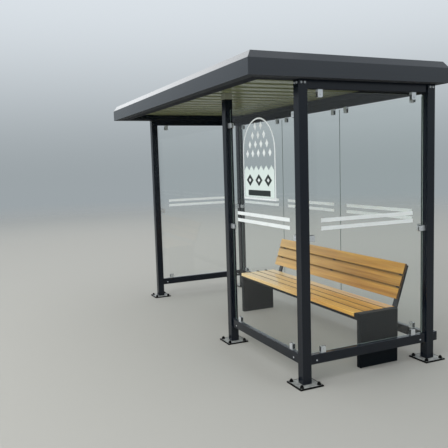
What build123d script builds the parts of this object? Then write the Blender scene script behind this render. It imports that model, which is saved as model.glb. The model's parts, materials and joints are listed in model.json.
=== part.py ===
from build123d import *
import math
import os

# Bus shelter: a steel portal frame with a flat ribbed roof behind a bevelled fascia, clamped glass
# walls and a slatted bench.  Millimetres, +Z up, +Y to the back wall, +X to the end with the front glass.
# The origin is on the ground under the middle of the roof.

# Post frame
FRAME_LENGTH = 3766
FRAME_DEPTH = 1364
POST = 80
POST_WALL = 4
POST_ROUND = 5
POST_TOP = 2410
MIDDLE_POST_X = 511

# Base plates and their anchor holes
PLATE = 200
PLATE_THICKNESS = 12
ANCHOR_SPACING = 160
ANCHOR_HOLE = 14
PLATE_CHAMFER = 1.5

# Bottom rails, beams under the roof and the roof's own frame
RAIL_WIDTH = 50
RAIL_HEIGHT = 80
RAIL_BOTTOM = 160
RAIL_STUB = 52
BEAM_HEIGHT = 70
ROOF_TUBE_HEIGHT = 60
TUBE_WALL = 3
TUBE_ROUND = 4

# Roof overhangs past the posts, and the folded fascia around it
OVERHANG_END = 84
OVERHANG_FRONT = 468
OVERHANG_BACK = 76
FASCIA_SHEET = 2
FASCIA_HEIGHT = 123
BEVEL_RISE = 57
BEVEL_INSET = 38
TOP_FLANGE = 24
FRONT_LIP = 80

# Trapezoidal roof deck, low flanges on the roof tubes
RIB_PITCH = 229
RIB_START = 45
GROOVE_MOUTH = 98
GROOVE_CROWN = 58
RIB_DEPTH = 35
DECK_SHEET = 1
DECK_CLEARANCE = 1

# Glass
GLASS = 8
SIDE_GLASS_GAP = 22
FRONT_GLASS_GAP = 34
TOP_GLASS_GAP = 20
BOTTOM_GLASS_GAP = 10
FRONT_GLASS_TOP = 2306
PANEL_JOINT = 3
BACK_GLASS_FORWARD = 17
GLASS_ROUND = 6

# Glass clamps
CLAMP_WIDTH = 46
CLAMP_DEPTH = 30
CLAMP_BITE = 42
CLAMP_ROUND = 10
CLAMP_INSET = 110
CLAMP_LOW = 1180
CLAMP_HIGH = 2156

# Bench, placed by its clearances to the near end glass and the back glass
BENCH_END_GAP = 72
BENCH_BACK_GAP = 213.5
LEG_SPAN = 2183
LEG_THICKNESS = 50
LEG_SHORT = 32
LEG_HEIGHT = 477
LEG_WALL = 3
SLAT_END_GAP = 30
WOOD_OVER_LEG = 29
SEAT_TOP = 472
SLAT_WIDTH = 105
SLAT_THICKNESS = 35
SLAT_GAP = 9
SLAT_COUNT = 4
SLAT_NOSE = 7
WOOD_ROUND = 5
SEAT_RAIL_WIDTH = 40
SEAT_RAIL_HEIGHT = 26
REAR_RAIL_WIDTH = 60
REAR_RAIL_PROUD = 6
CROSS_BARS = 3

# Bench back
BACK_LEAN = 19.2
SUPPORT_WIDTH = 50
SUPPORT_THICKNESS = 20
SUPPORT_INSET = 90
SUPPORT_SHORT = 10
BOARD_HEIGHT = 100
BOARD_THICKNESS = 22
BOARD_ROUND = 8
BOARD_GAP = 14.5
BOARD_COUNT = 3
BOARD_START = 98

# Places worked out from the sizes above
HALF_LENGTH = FRAME_LENGTH / 2
END_AXIS_X = HALF_LENGTH - POST / 2
MID_Y = (OVERHANG_FRONT - OVERHANG_BACK) / 2
FRONT_AXIS_Y = MID_Y - FRAME_DEPTH / 2 + POST / 2
BACK_AXIS_Y = MID_Y + FRAME_DEPTH / 2 - POST / 2
ROOF_X = HALF_LENGTH + OVERHANG_END
ROOF_FRONT_Y = MID_Y - FRAME_DEPTH / 2 - OVERHANG_FRONT
ROOF_BACK_Y = MID_Y + FRAME_DEPTH / 2 + OVERHANG_BACK
RAIL_TOP = RAIL_BOTTOM + RAIL_HEIGHT
BEAM_BOTTOM = POST_TOP - BEAM_HEIGHT
DECK_BOTTOM = POST_TOP + ROOF_TUBE_HEIGHT
END_TUBE_X = END_AXIS_X + RAIL_WIDTH / 2
BACK_TUBE_Y = BACK_AXIS_Y + RAIL_WIDTH / 2
FRONT_TUBE_Y = ROOF_FRONT_Y + FRONT_LIP
BACK_GLASS_Y = BACK_AXIS_Y - BACK_GLASS_FORWARD
GLASS_BOTTOM = RAIL_TOP + BOTTOM_GLASS_GAP
GLASS_TOP = BEAM_BOTTOM - TOP_GLASS_GAP

os.makedirs("parts", exist_ok=True)


def save(piece, name):
    """Label a finished piece and write it."""
    piece.part.label = name
    export_step(piece.part, f"parts/{name}.step")


def tube_section(across, height, wall, rounding):
    """Rounded hollow section about the sketch's origin or the current location."""
    RectangleRounded(across, height, rounding)
    RectangleRounded(across - 2 * wall, height - 2 * wall, rounding - wall / 2, mode=Mode.SUBTRACT)


def tube_along_x(name, x0, x1, y, z0, width, height):
    """Hollow tube from x0 to x1, centred on y, standing on height z0."""
    with BuildPart() as tube:
        with BuildSketch(Plane.YZ.offset(x0)):
            with Locations((y, z0 + height / 2)):
                tube_section(width, height, TUBE_WALL, TUBE_ROUND)
        extrude(amount=x1 - x0)
    save(tube, name)


def tube_along_y(name, x, y0, y1, z0, width, height):
    """Hollow tube from y0 to y1, centred on x, standing on height z0."""
    with BuildPart() as tube:
        with BuildSketch(Plane.XZ.offset(-y1)):
            with Locations((x, z0 + height / 2)):
                tube_section(width, height, TUBE_WALL, TUBE_ROUND)
        extrude(amount=y1 - y0)
    save(tube, name)


# Posts and base plates
POSTS = {
    "front_far": (-END_AXIS_X, FRONT_AXIS_Y),
    "front_middle": (MIDDLE_POST_X, FRONT_AXIS_Y),
    "front_near": (END_AXIS_X, FRONT_AXIS_Y),
    "back_near": (END_AXIS_X, BACK_AXIS_Y),
    "back_far": (-END_AXIS_X, BACK_AXIS_Y),
}
for place, (x, y) in POSTS.items():
    with BuildPart() as base_plate:
        with BuildSketch():
            with Locations((x, y)):
                Rectangle(PLATE, PLATE)
        extrude(amount=PLATE_THICKNESS)
        chamfer(base_plate.faces().sort_by(Axis.Z)[-1].edges(), PLATE_CHAMFER)
        with Locations((x, y, PLATE_THICKNESS)):
            with GridLocations(ANCHOR_SPACING, ANCHOR_SPACING, 2, 2):
                Hole(ANCHOR_HOLE / 2)
    save(base_plate, f"base_plate_{place}")

    with BuildPart() as post:
        with BuildSketch(Plane.XY.offset(PLATE_THICKNESS)):
            with Locations((x, y)):
                tube_section(POST, POST, POST_WALL, POST_ROUND)
        extrude(amount=POST_TOP - PLATE_THICKNESS)
    save(post, f"post_{place}")

# Bottom rails between the posts
end_inner_x = END_AXIS_X - POST / 2
front_inner_y = FRONT_AXIS_Y + POST / 2
back_inner_y = BACK_AXIS_Y - POST / 2
middle_near_x = MIDDLE_POST_X + POST / 2
rail = (RAIL_BOTTOM, RAIL_WIDTH, RAIL_HEIGHT)
tube_along_x("bottom_rail_front", middle_near_x, end_inner_x, FRONT_AXIS_Y, *rail)
tube_along_x("bottom_rail_back", -end_inner_x, end_inner_x, BACK_AXIS_Y, *rail)
tube_along_y("bottom_rail_near_end", END_AXIS_X, front_inner_y, back_inner_y, *rail)
tube_along_y("bottom_rail_far_end", -END_AXIS_X, front_inner_y, back_inner_y, *rail)

# Capped rail ends that stand out behind the back posts
for name, x in (("rail_stub_near", END_AXIS_X), ("rail_stub_far", -END_AXIS_X)):
    with BuildPart() as stub:
        with BuildSketch(Plane.XZ.offset(-(BACK_AXIS_Y + POST / 2 + RAIL_STUB))):
            with Locations((x, RAIL_BOTTOM + RAIL_HEIGHT / 2)):
                RectangleRounded(RAIL_WIDTH, RAIL_HEIGHT, TUBE_ROUND)
        extrude(amount=RAIL_STUB)
        with BuildSketch(Plane.XZ.offset(-(BACK_AXIS_Y + POST / 2 + RAIL_STUB - TUBE_WALL))):
            with Locations((x, RAIL_BOTTOM + RAIL_HEIGHT / 2)):
                Rectangle(RAIL_WIDTH - 2 * TUBE_WALL, RAIL_HEIGHT - 2 * TUBE_WALL)
        extrude(amount=RAIL_STUB, mode=Mode.SUBTRACT)
    save(stub, name)

# Beams at the post tops
beam = (BEAM_BOTTOM, RAIL_WIDTH, BEAM_HEIGHT)
tube_along_x("beam_back", -end_inner_x, end_inner_x, BACK_AXIS_Y, *beam)
tube_along_y("beam_near_end", END_AXIS_X, front_inner_y, back_inner_y, *beam)
tube_along_y("beam_far_end", -END_AXIS_X, front_inner_y, back_inner_y, *beam)

# Roof frame on the posts, reaching forward to the front edge
roof_tube = (POST_TOP, RAIL_WIDTH, ROOF_TUBE_HEIGHT)
end_tube_inner_x = END_AXIS_X - RAIL_WIDTH / 2
tube_along_y("roof_frame_near_end", END_AXIS_X, FRONT_TUBE_Y, BACK_TUBE_Y, *roof_tube)
tube_along_y("roof_frame_far_end", -END_AXIS_X, FRONT_TUBE_Y, BACK_TUBE_Y, *roof_tube)
tube_along_x("roof_frame_back", -end_tube_inner_x, end_tube_inner_x, BACK_AXIS_Y, *roof_tube)
tube_along_x("roof_frame_front", -end_tube_inner_x, end_tube_inner_x, FRONT_TUBE_Y + RAIL_WIDTH / 2, *roof_tube)

# Short column that carries the deck on the middle post
with BuildPart() as post_head:
    with BuildSketch(Plane.XY.offset(POST_TOP)):
        with Locations((MIDDLE_POST_X, FRONT_AXIS_Y)):
            tube_section(POST, POST, POST_WALL, POST_ROUND)
    extrude(amount=ROOF_TUBE_HEIGHT)
save(post_head, "post_head_front_middle")

# Roof deck: one trapezoidal sheet, its grooves open below and running front to back
deck_x = ROOF_X - FASCIA_SHEET - DECK_CLEARANCE
shoulder = (GROOVE_MOUTH - GROOVE_CROWN) / 2
first_rib = math.ceil((-deck_x + GROOVE_MOUTH / 2 - RIB_START) / RIB_PITCH)
last_rib = math.floor((deck_x - GROOVE_MOUTH / 2 - RIB_START) / RIB_PITCH)
underside = [(-deck_x, DECK_BOTTOM)]
for rib in range(first_rib, last_rib + 1):
    rib_x = RIB_START + rib * RIB_PITCH
    underside.append((rib_x - GROOVE_MOUTH / 2, DECK_BOTTOM))
    underside.append((rib_x - GROOVE_MOUTH / 2 + shoulder, DECK_BOTTOM + RIB_DEPTH))
    underside.append((rib_x + GROOVE_MOUTH / 2 - shoulder, DECK_BOTTOM + RIB_DEPTH))
    underside.append((rib_x + GROOVE_MOUTH / 2, DECK_BOTTOM))
underside.append((deck_x, DECK_BOTTOM))
topside = [(px, pz + DECK_SHEET) for px, pz in reversed(underside)]
deck_front_y = ROOF_FRONT_Y + FASCIA_SHEET + DECK_CLEARANCE
deck_back_y = ROOF_BACK_Y - FASCIA_SHEET - DECK_CLEARANCE
with BuildPart() as roof_deck:
    with BuildSketch(Plane.XZ.offset(-deck_back_y)):
        with BuildLine():
            Polyline(*underside, *topside, close=True)
        make_face()
    extrude(amount=deck_back_y - deck_front_y)
save(roof_deck, "roof_deck")


# Fascia: one folded sheet along each side, mitred at the corners
def fascia_outline(lip):
    """Closed outline of the fold, from the outer foot; first number inwards, second upwards."""
    t = FASCIA_SHEET
    z0 = POST_TOP
    z1 = z0 + FASCIA_HEIGHT
    z2 = z1 + BEVEL_RISE
    # the inside line of the bevel is the outside line moved in by the sheet thickness
    half_fold = math.atan2(BEVEL_INSET, BEVEL_RISE) / 2
    half_top = (math.pi / 2 - 2 * half_fold) / 2
    inner_z1 = z1 - t * math.tan(half_fold)
    inner_top = BEVEL_INSET + t * math.tan(half_top)
    return [
        (0, z0),
        (0, z1),
        (BEVEL_INSET, z2),
        (BEVEL_INSET + TOP_FLANGE, z2),
        (BEVEL_INSET + TOP_FLANGE, z2 - t),
        (inner_top, z2 - t),
        (t, inner_z1),
        (t, z0 + t),
        (lip, z0 + t),
        (lip, z0),
    ]


def mitre(x_sign, y_sign):
    """Vertical plane through a roof corner, its normal pointing along the front or back side."""
    corner = (x_sign * ROOF_X, ROOF_FRONT_Y if y_sign < 0 else ROOF_BACK_Y, 0)
    return Plane(origin=corner, x_dir=(0, 0, 1), z_dir=(-x_sign, -y_sign * -1, 0))


for name, edge_y, y_sign, lip in (
    ("fascia_front", ROOF_FRONT_Y, -1, FRONT_LIP),
    ("fascia_back", ROOF_BACK_Y, 1, ROOF_BACK_Y - BACK_TUBE_Y),
):
    with BuildPart() as fascia:
        with BuildSketch(Plane.YZ.offset(-ROOF_X)):
            with BuildLine():
                Polyline(*[(edge_y - y_sign * inward, z) for inward, z in fascia_outline(lip)], close=True)
            make_face()
        extrude(amount=2 * ROOF_X)
        split(bisect_by=mitre(-1, y_sign), keep=Keep.TOP)
        split(bisect_by=mitre(1, y_sign), keep=Keep.TOP)
    save(fascia, name)

for name, x_sign in (("fascia_near_end", 1), ("fascia_far_end", -1)):
    with BuildPart() as fascia:
        with BuildSketch(Plane.XZ.offset(-ROOF_BACK_Y)):
            with BuildLine():
                outline = fascia_outline(ROOF_X - END_TUBE_X)
                Polyline(*[(x_sign * (ROOF_X - inward), z) for inward, z in outline], close=True)
            make_face()
        extrude(amount=ROOF_BACK_Y - ROOF_FRONT_Y)
        split(bisect_by=mitre(x_sign, -1), keep=Keep.BOTTOM)
        split(bisect_by=mitre(x_sign, 1), keep=Keep.BOTTOM)
    save(fascia, name)


# Glass panels: clear sheets with polished edges and slightly rounded corners
def glass_across_x(name, x0, x1, y, z0, z1):
    """Upright sheet that runs along X."""
    with BuildPart() as sheet:
        with BuildSketch(Plane.XZ.offset(-(y + GLASS / 2))):
            with Locations(((x0 + x1) / 2, (z0 + z1) / 2)):
                RectangleRounded(x1 - x0, z1 - z0, GLASS_ROUND)
        extrude(amount=GLASS)
    save(sheet, name)


def glass_across_y(name, x, y0, y1, z0, z1):
    """Upright sheet that runs along Y."""
    with BuildPart() as sheet:
        with BuildSketch(Plane.YZ.offset(x - GLASS / 2)):
            with Locations(((y0 + y1) / 2, (z0 + z1) / 2)):
                RectangleRounded(y1 - y0, z1 - z0, GLASS_ROUND)
        extrude(amount=GLASS)
    save(sheet, name)


front_glass_x0 = middle_near_x + FRONT_GLASS_GAP
front_glass_x1 = end_inner_x - FRONT_GLASS_GAP
end_glass_y0 = front_inner_y + SIDE_GLASS_GAP
end_glass_y1 = back_inner_y - SIDE_GLASS_GAP
back_glass_x = end_inner_x - SIDE_GLASS_GAP
panel = (2 * back_glass_x - 2 * PANEL_JOINT) / 3

glass_across_x("glass_front", front_glass_x0, front_glass_x1, FRONT_AXIS_Y, GLASS_BOTTOM, FRONT_GLASS_TOP)
glass_across_y("glass_near_end", END_AXIS_X, end_glass_y0, end_glass_y1, GLASS_BOTTOM, GLASS_TOP)
glass_across_y("glass_far_end", -END_AXIS_X, end_glass_y0, end_glass_y1, GLASS_BOTTOM, GLASS_TOP)
for number, place in enumerate(("far", "middle", "near")):
    panel_x = -back_glass_x + number * (panel + PANEL_JOINT)
    glass_across_x(f"glass_back_{place}", panel_x, panel_x + panel, BACK_GLASS_Y, GLASS_BOTTOM, GLASS_TOP)


# Glass clamps: a block with a rounded end, screwed to the frame, that grips the sheet's edge in a slot
def clamp(foot, towards, normal, gap):
    """Clamp from the point foot on the frame towards the sheet; the sheet's edge is gap away."""
    flat = Plane(origin=foot, x_dir=Vector(*towards).cross(Vector(*normal)), z_dir=normal)
    reach = gap + CLAMP_BITE
    with BuildSketch(flat.offset(-CLAMP_DEPTH / 2)) as block:
        with Locations((0, reach / 2)):
            Rectangle(CLAMP_WIDTH, reach)
        fillet(block.vertices().group_by(Axis.Y)[-1], CLAMP_ROUND)
    extrude(block.sketch, amount=CLAMP_DEPTH)
    with BuildSketch(flat.offset(-GLASS / 2)) as slot:
        with Locations((0, gap + CLAMP_BITE / 2)):
            Rectangle(CLAMP_WIDTH, CLAMP_BITE)
    extrude(slot.sketch, amount=GLASS, mode=Mode.SUBTRACT)


UP, DOWN = (0, 0, 1), (0, 0, -1)
RIGHT, LEFT = (1, 0, 0), (-1, 0, 0)
BACKWARD, FORWARD = (0, 1, 0), (0, -1, 0)

with BuildPart() as clamps_front:
    for x in (front_glass_x0 + CLAMP_INSET, front_glass_x1 - CLAMP_INSET):
        clamp((x, FRONT_AXIS_Y, RAIL_TOP), UP, FORWARD, BOTTOM_GLASS_GAP)
    for z in (CLAMP_LOW, CLAMP_HIGH):
        clamp((middle_near_x, FRONT_AXIS_Y, z), RIGHT, FORWARD, FRONT_GLASS_GAP)
        clamp((end_inner_x, FRONT_AXIS_Y, z), LEFT, FORWARD, FRONT_GLASS_GAP)
save(clamps_front, "clamps_front")

for name, x in (("clamps_near_end", END_AXIS_X), ("clamps_far_end", -END_AXIS_X)):
    with BuildPart() as clamps_end:
        for y in (end_glass_y0 + CLAMP_INSET, end_glass_y1 - CLAMP_INSET):
            clamp((x, y, RAIL_TOP), UP, RIGHT, BOTTOM_GLASS_GAP)
            clamp((x, y, BEAM_BOTTOM), DOWN, RIGHT, TOP_GLASS_GAP)
        clamp((x, front_inner_y, CLAMP_LOW), BACKWARD, RIGHT, SIDE_GLASS_GAP)
        clamp((x, back_inner_y, CLAMP_LOW), FORWARD, RIGHT, SIDE_GLASS_GAP)
    save(clamps_end, name)

with BuildPart() as clamps_back:
    for number in range(3):
        panel_x = -back_glass_x + number * (panel + PANEL_JOINT)
        for x in (panel_x + CLAMP_INSET, panel_x + panel - CLAMP_INSET):
            clamp((x, BACK_GLASS_Y, RAIL_TOP), UP, FORWARD, BOTTOM_GLASS_GAP)
            clamp((x, BACK_GLASS_Y, BEAM_BOTTOM), DOWN, FORWARD, TOP_GLASS_GAP)
    clamp((-end_inner_x, BACK_GLASS_Y, CLAMP_LOW), RIGHT, FORWARD, SIDE_GLASS_GAP)
    clamp((end_inner_x, BACK_GLASS_Y, CLAMP_LOW), LEFT, FORWARD, SIDE_GLASS_GAP)
save(clamps_back, "clamps_back")

# Bench: two hollow panel legs, the near one up to the seat, the far one under the slats
seat_bottom = SEAT_TOP - SLAT_THICKNESS
seat_depth = SLAT_COUNT * SLAT_WIDTH + (SLAT_COUNT - 1) * SLAT_GAP
seat_back_y = BACK_GLASS_Y - GLASS / 2 - BENCH_BACK_GAP
seat_front_y = seat_back_y - seat_depth
leg_front_y = seat_front_y + SLAT_NOSE
leg_depth = seat_depth - SLAT_NOSE - LEG_SHORT
near_leg_x = END_AXIS_X - GLASS / 2 - BENCH_END_GAP - LEG_THICKNESS
far_leg_x = near_leg_x - LEG_SPAN
wood_x0 = far_leg_x - WOOD_OVER_LEG
wood_x1 = near_leg_x - SLAT_END_GAP
wood_length = wood_x1 - wood_x0
for name, x0, height in (
    ("bench_leg_near", near_leg_x, LEG_HEIGHT),
    ("bench_leg_far", far_leg_x - LEG_THICKNESS, seat_bottom),
):
    with BuildPart() as leg:
        with BuildSketch():
            with Locations((x0 + LEG_THICKNESS / 2, leg_front_y + leg_depth / 2)):
                RectangleRounded(LEG_THICKNESS, leg_depth, TUBE_ROUND)
        extrude(amount=height)
        offset(amount=-LEG_WALL, openings=leg.faces().sort_by(Axis.Z)[0])
    save(leg, name)

# Seat rails and cross bars between the legs, under the slats; the front rail is flush with the legs
rear_rail_back = seat_back_y + REAR_RAIL_PROUD
front_rail_y = leg_front_y + SEAT_RAIL_WIDTH / 2
rear_rail_y = rear_rail_back - REAR_RAIL_WIDTH / 2
rail_z = seat_bottom - SEAT_RAIL_HEIGHT / 2
with BuildPart() as seat_rails:
    with BuildSketch(Plane.YZ.offset(far_leg_x)):
        for y, width in ((front_rail_y, SEAT_RAIL_WIDTH), (rear_rail_y, REAR_RAIL_WIDTH)):
            with Locations((y, rail_z)):
                tube_section(width, SEAT_RAIL_HEIGHT, TUBE_WALL, TUBE_ROUND)
    extrude(amount=LEG_SPAN)
save(seat_rails, "bench_seat_rails")

bar_spacing = LEG_SPAN / (CROSS_BARS + 1)
bar_y0 = front_rail_y + SEAT_RAIL_WIDTH / 2
bar_y1 = rear_rail_y - REAR_RAIL_WIDTH / 2
with BuildPart() as cross_bars:
    with BuildSketch(Plane.XZ.offset(-bar_y1)):
        with Locations(*[(far_leg_x + (n + 1) * bar_spacing, rail_z) for n in range(CROSS_BARS)]):
            tube_section(SEAT_RAIL_WIDTH, SEAT_RAIL_HEIGHT, TUBE_WALL, TUBE_ROUND)
    extrude(amount=bar_y1 - bar_y0)
save(cross_bars, "bench_cross_bars")

# Seat slats, and the flat bar that closes the space from their near end to the leg
with BuildPart() as seat_slats:
    with BuildSketch(Plane.YZ.offset(wood_x0)):
        for n in range(SLAT_COUNT):
            slat_y = seat_front_y + SLAT_WIDTH / 2 + n * (SLAT_WIDTH + SLAT_GAP)
            with Locations((slat_y, SEAT_TOP - SLAT_THICKNESS / 2)):
                RectangleRounded(SLAT_WIDTH, SLAT_THICKNESS, WOOD_ROUND)
    extrude(amount=wood_length)
save(seat_slats, "bench_seat_slats")

with BuildPart() as end_bar:
    with BuildSketch(Plane.XY.offset(seat_bottom)):
        with Locations(((wood_x1 + near_leg_x) / 2, leg_front_y + leg_depth / 2)):
            Rectangle(SLAT_END_GAP, leg_depth)
    extrude(amount=SLAT_THICKNESS)
save(end_bar, "bench_end_bar")

# Bench back: two bars that stand on the rear rail and lean back carry three boards, which a strip
# joins in the middle
lean = math.radians(BACK_LEAN)
boards_length = BOARD_COUNT * BOARD_HEIGHT + (BOARD_COUNT - 1) * BOARD_GAP
support_length = BOARD_START + boards_length - SUPPORT_SHORT
foot_z = seat_bottom - SEAT_RAIL_HEIGHT
bend_drop = SUPPORT_THICKNESS * math.tan(lean / 2)
tip_y = rear_rail_back + support_length * math.sin(lean)
tip_z = seat_bottom + support_length * math.cos(lean)
support_outline = [
    (rear_rail_back, foot_z),
    (rear_rail_back, seat_bottom),
    (tip_y, tip_z),
    (tip_y + SUPPORT_THICKNESS * math.cos(lean), tip_z - SUPPORT_THICKNESS * math.sin(lean)),
    (rear_rail_back + SUPPORT_THICKNESS, seat_bottom - bend_drop),
    (rear_rail_back + SUPPORT_THICKNESS, foot_z),
]
strip_start = BOARD_START + SUPPORT_SHORT
strip_y = rear_rail_back + strip_start * math.sin(lean)
strip_z = seat_bottom + strip_start * math.cos(lean)
strip_outline = [
    (strip_y, strip_z),
    (tip_y, tip_z),
    (tip_y + SUPPORT_THICKNESS * math.cos(lean), tip_z - SUPPORT_THICKNESS * math.sin(lean)),
    (strip_y + SUPPORT_THICKNESS * math.cos(lean), strip_z - SUPPORT_THICKNESS * math.sin(lean)),
]
near_support_x = wood_x1 - SUPPORT_WIDTH
far_support_x = wood_x0 + SUPPORT_INSET
middle_strip_x = (far_support_x + near_support_x) / 2
with BuildPart() as back_supports:
    for x, outline in (
        (far_support_x, support_outline),
        (middle_strip_x, strip_outline),
        (near_support_x, support_outline),
    ):
        with BuildSketch(Plane.YZ.offset(x)):
            with BuildLine():
                Polyline(*outline, close=True)
            make_face()
        extrude(amount=SUPPORT_WIDTH)
save(back_supports, "bench_back_supports")

board_section = Plane(
    origin=(wood_x0, rear_rail_back, seat_bottom),
    x_dir=(0, math.sin(lean), math.cos(lean)),
    z_dir=(1, 0, 0),
)
with BuildPart() as back_boards:
    with BuildSketch(board_section):
        for n in range(BOARD_COUNT):
            board_middle = BOARD_START + BOARD_HEIGHT / 2 + n * (BOARD_HEIGHT + BOARD_GAP)
            with Locations((board_middle, BOARD_THICKNESS / 2)):
                RectangleRounded(BOARD_HEIGHT, BOARD_THICKNESS, BOARD_ROUND)
    extrude(amount=wood_length)
save(back_boards, "bench_back_boards")
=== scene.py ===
# %% [markdown]
# # A bus shelter in coated steel, glass and larch
# The shelter stands on five square posts, carries a flat ribbed roof behind a bevelled fascia and has
# clamped glass walls and a slatted bench.  The exact solids come in as a fixed frame.  This lesson gives
# each of them its finish, adds the small parts that solids leave out, and sets up light and camera.

import json
import math

import bmesh
import bpy
from mathutils import Matrix, Vector


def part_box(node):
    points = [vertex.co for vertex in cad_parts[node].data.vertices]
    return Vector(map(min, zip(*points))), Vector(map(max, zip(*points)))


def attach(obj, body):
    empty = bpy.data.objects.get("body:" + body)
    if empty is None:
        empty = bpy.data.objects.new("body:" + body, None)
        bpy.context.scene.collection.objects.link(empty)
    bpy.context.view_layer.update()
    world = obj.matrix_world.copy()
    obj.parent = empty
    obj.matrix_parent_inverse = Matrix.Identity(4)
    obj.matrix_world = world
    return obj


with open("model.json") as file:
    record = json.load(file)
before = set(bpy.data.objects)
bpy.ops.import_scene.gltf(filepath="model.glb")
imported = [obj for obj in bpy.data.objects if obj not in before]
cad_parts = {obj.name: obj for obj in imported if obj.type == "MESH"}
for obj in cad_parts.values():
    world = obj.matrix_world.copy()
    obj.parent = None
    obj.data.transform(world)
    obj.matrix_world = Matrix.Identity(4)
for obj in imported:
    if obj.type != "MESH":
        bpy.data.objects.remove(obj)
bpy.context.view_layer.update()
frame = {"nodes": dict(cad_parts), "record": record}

MM = 0.001
X_AXIS = Vector((1, 0, 0))
Y_AXIS = Vector((0, 1, 0))
Z_AXIS = Vector((0, 0, 1))


# %% [markdown]
# ## Colours and nodes
# Paint makers and cameras give colours as sRGB hex codes, but a renderer counts light in linear numbers,
# so one function translates.  Materials are small networks.  Writing each node out takes many lines,
# so a second function adds one node with its settings, its plain values and its incoming links.

# %% Colour and node helpers
def srgb(code):
    """Linear RGBA of an sRGB hex code."""
    parts = [int(code[i:i + 2], 16) / 255 for i in (1, 3, 5)]
    return [p / 12.92 if p <= 0.04045 else ((p + 0.055) / 1.055) ** 2.4 for p in parts] + [1.0]


def add(tree, kind, values=None, links=None, **settings):
    """Add a node to the tree, with its settings, socket values and incoming links."""
    node = tree.nodes.new(kind)
    for key, value in settings.items():
        setattr(node, key, value)
    for key, value in (values or {}).items():
        node.inputs[key].default_value = value
    for key, source in (links or {}).items():
        tree.links.new(source, node.inputs[key])
    return node


def per_metre(millimetres):
    """Texture scale whose features are about this many millimetres wide."""
    return 1000 / millimetres


def new_material(name):
    """Empty material with its node tree."""
    material = bpy.data.materials.new(name)
    material.use_nodes = True
    material.node_tree.nodes.clear()
    return material, material.node_tree


# %% [markdown]
# ## Powder coat
# The steel frame, the fascia, the base plates and the bench's steel are powder coated in anthracite grey.
# The powder melts to a skin with a very fine orange peel, which the eye sees as a soft, broken gloss.  The
# peel is about a millimetre wide on the real thing, too fine to show from some metres, so it is drawn
# coarser.  Faces that look up are lighter: partly dust, partly a painted sheen of the sky.  There is a little
# on the rails, whose tops stay glossy, and much on the base plates and the bench.  Faces that look down are
# dull.  A painted map could hold all this, but it depends only on which way a face looks, so the surface
# normal is enough.

# %% Powder-coated steel
CLOUD_MM = 420
PEEL_MM = 9
PEEL_DEPTH_MM = 1
DUST_MM = 24
LOOKS_UP = 0.75
LOOKS_DOWN = -0.4
FULLY_DOWN = -0.8


def powder_coat(name, colour, light_colour, dust_and_sheen_colour, dust_and_sheen_share, shine, roughness=0.3, top_roughness=0.5):
    """Powder coat with faint tone clouds, orange peel, and dust with a painted sky sheen on the faces that
    look up.
    """
    material, tree = new_material(name)
    place = add(tree, "ShaderNodeTexCoord").outputs["Object"]
    cloud = add(tree, "ShaderNodeTexNoise", {"Scale": per_metre(CLOUD_MM), "Detail": 3.0}, {"Vector": place})
    tone = add(tree, "ShaderNodeMix", {6: srgb(colour), 7: srgb(light_colour)},
               {0: cloud.outputs["Fac"]}, data_type="RGBA")
    normal = add(tree, "ShaderNodeNewGeometry").outputs["Normal"]
    upward = add(tree, "ShaderNodeSeparateXYZ", links={0: normal}).outputs["Z"]
    level = add(tree, "ShaderNodeMapRange", {"From Min": LOOKS_UP, "From Max": 1.0, "To Max": dust_and_sheen_share},
                {"Value": upward})
    specks = add(tree, "ShaderNodeTexNoise", {"Scale": per_metre(DUST_MM), "Detail": 4.0}, {"Vector": place})
    patchy = add(tree, "ShaderNodeMapRange", {"From Min": 0.35, "From Max": 0.65, "To Min": 0.55},
                 {"Value": specks.outputs["Fac"]})
    # Upward faces turn lighter: dust, and a painted sheen of the sky.
    dust_and_sheen = add(tree, "ShaderNodeMath", links={0: level.outputs[0], 1: patchy.outputs[0]},
               operation="MULTIPLY")
    base = add(tree, "ShaderNodeMix", {7: srgb(dust_and_sheen_colour)}, {0: dust_and_sheen.outputs[0], 6: tone.outputs[2]},
               data_type="RGBA")
    patchy_rough = add(tree, "ShaderNodeMapRange", {"To Min": roughness - 0.05, "To Max": roughness + 0.07},
                       {"Value": specks.outputs["Fac"]})
    rough = add(tree, "ShaderNodeMapRange", {"From Min": LOOKS_DOWN, "From Max": FULLY_DOWN, "To Max": 1.0},
                {"Value": upward, "To Min": patchy_rough.outputs[0]})
    top_rough = add(tree, "ShaderNodeMapRange",
                    {"From Min": LOOKS_UP, "From Max": 1.0, "To Max": top_roughness},
                    {"Value": upward, "To Min": rough.outputs[0]})
    peel = add(tree, "ShaderNodeTexNoise", {"Scale": per_metre(PEEL_MM), "Detail": 1.0}, {"Vector": place})
    bump = add(tree, "ShaderNodeBump", {"Strength": 0.06, "Distance": PEEL_DEPTH_MM * MM},
               {"Height": peel.outputs["Fac"]})
    shader = add(tree, "ShaderNodeBsdfPrincipled", {"Specular IOR Level": shine},
                 {"Base Color": base.outputs[2], "Roughness": top_rough.outputs[0],
                  "Normal": bump.outputs[0]})
    add(tree, "ShaderNodeOutputMaterial", links={"Surface": shader.outputs[0]})
    return material


frame_coat = powder_coat("powder_coat_anthracite", "#080f19", "#0b131d", "#a3abad", 0.12,
                         shine=0.4, roughness=0.2, top_roughness=0.14)
fascia_coat = powder_coat("powder_coat_fascia", "#08111b", "#0c151f", "#4c545c", 0.2,
                          shine=0.9, roughness=0.15)
plate_coat = powder_coat("powder_coat_base_plates", "#0a0e11", "#111519", "#b0b2ae", 0.9, shine=0.2)
bench_coat = powder_coat("powder_coat_bench", "#060d13", "#0a1217", "#454d51", 0.6,
                         shine=0.1, roughness=0.4)

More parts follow.
